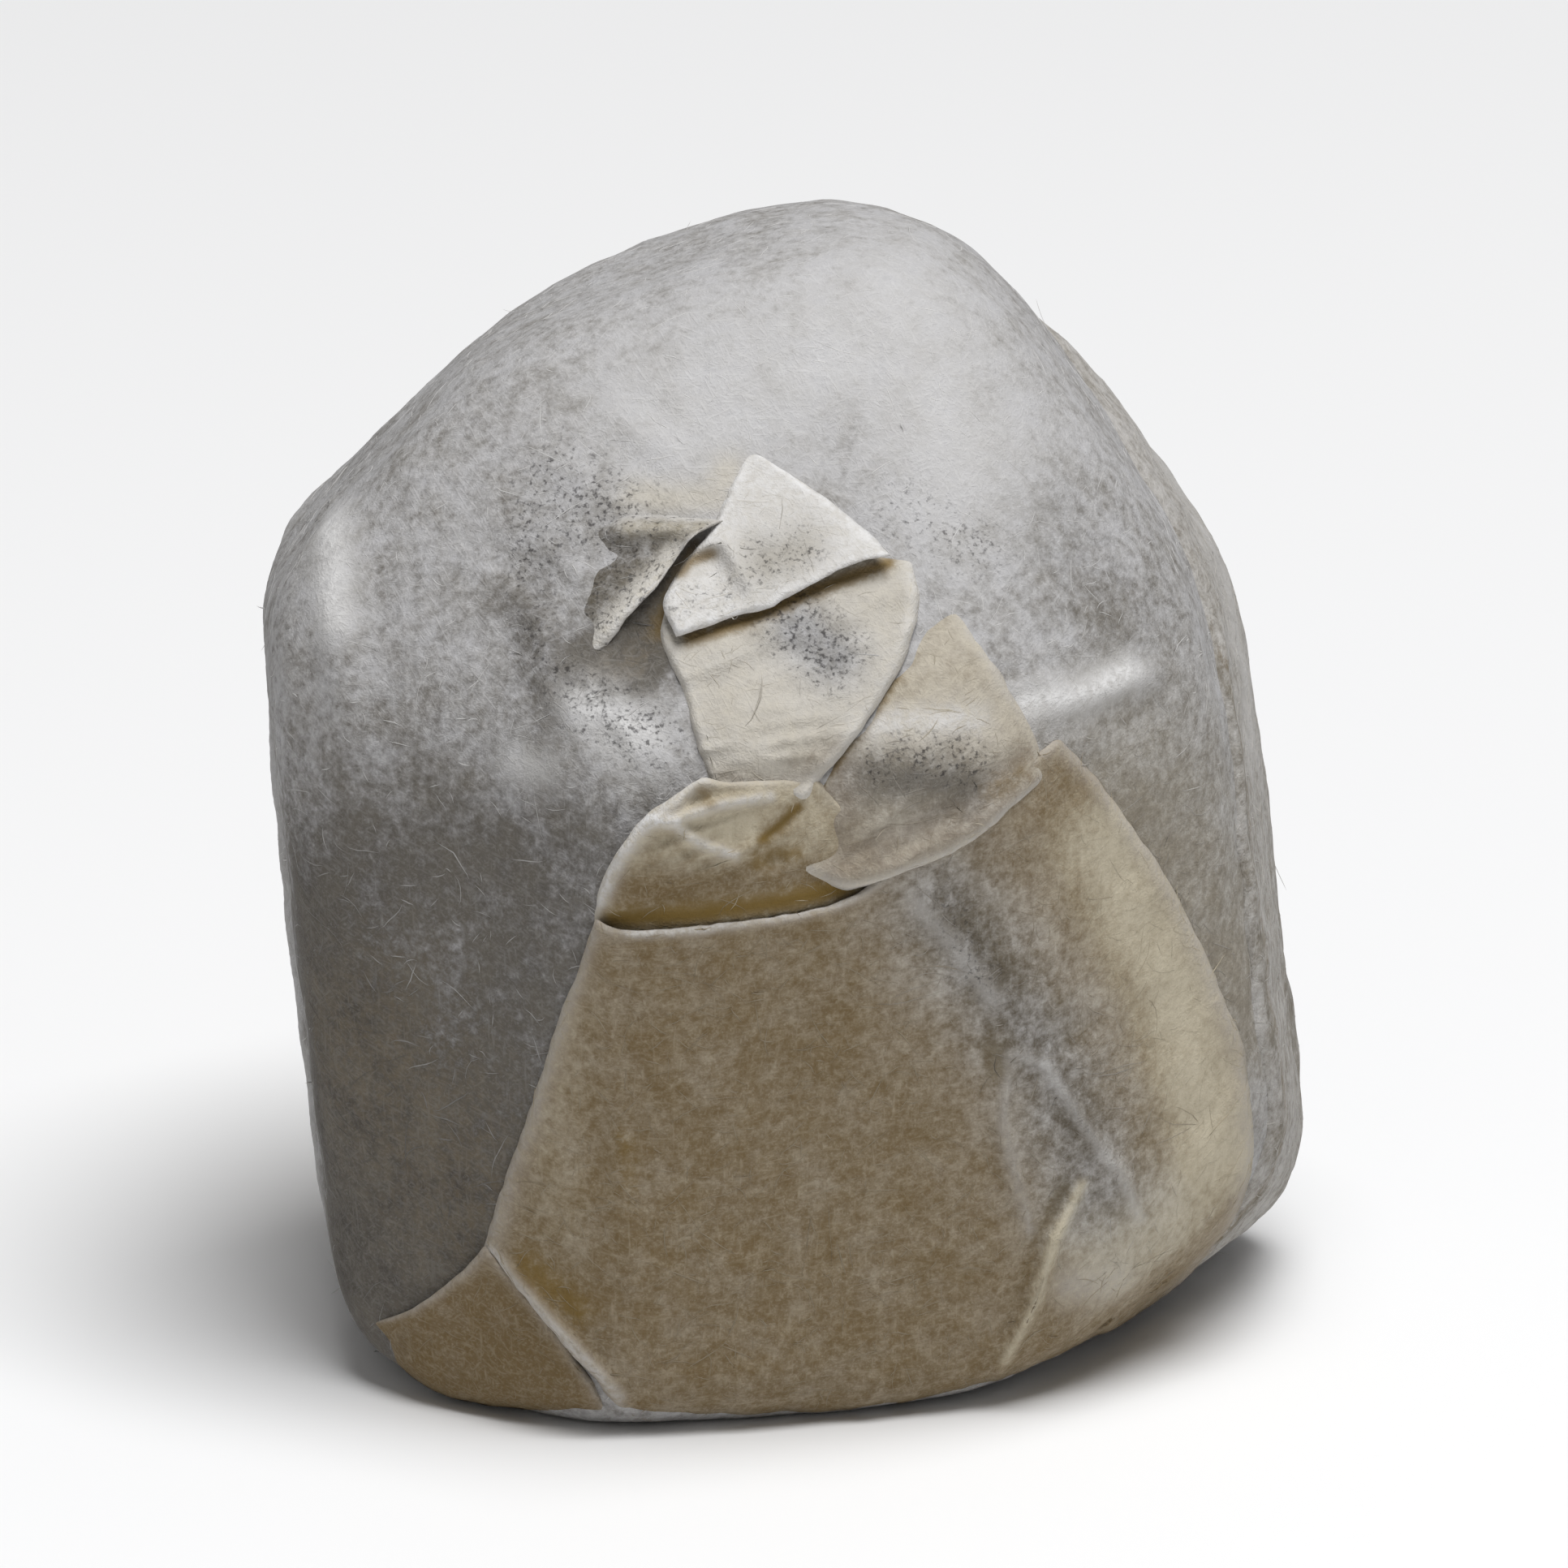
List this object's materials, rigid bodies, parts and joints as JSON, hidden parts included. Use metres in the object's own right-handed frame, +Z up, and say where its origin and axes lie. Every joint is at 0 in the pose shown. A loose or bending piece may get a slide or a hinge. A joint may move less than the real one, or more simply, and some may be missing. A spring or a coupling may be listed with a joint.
{
  "type": "pu erh tea",
  "caption": "Pressed serving of pu erh tea shut in thin fibrous paper, with folded-over flaps and a twisted paper end, standing on a flat foot.",
  "frame": {"origin": "middle of the outline seen from above, at the level of the foot", "axes": "+Z up, -Y towards the front with the twisted end of the paper, +X to the right of that front"},
  "size_m": [0.0303, 0.0293, 0.0329],
  "materials": {
    "paper_wrapper": "matt thin fibrous tissue paper over dark tea, grey where it lies tight and cream where it is doubled"
  },
  "bodies": {
    "root": {"wrapped_tea": "paper_wrapper"}
  },
  "joints": []
}
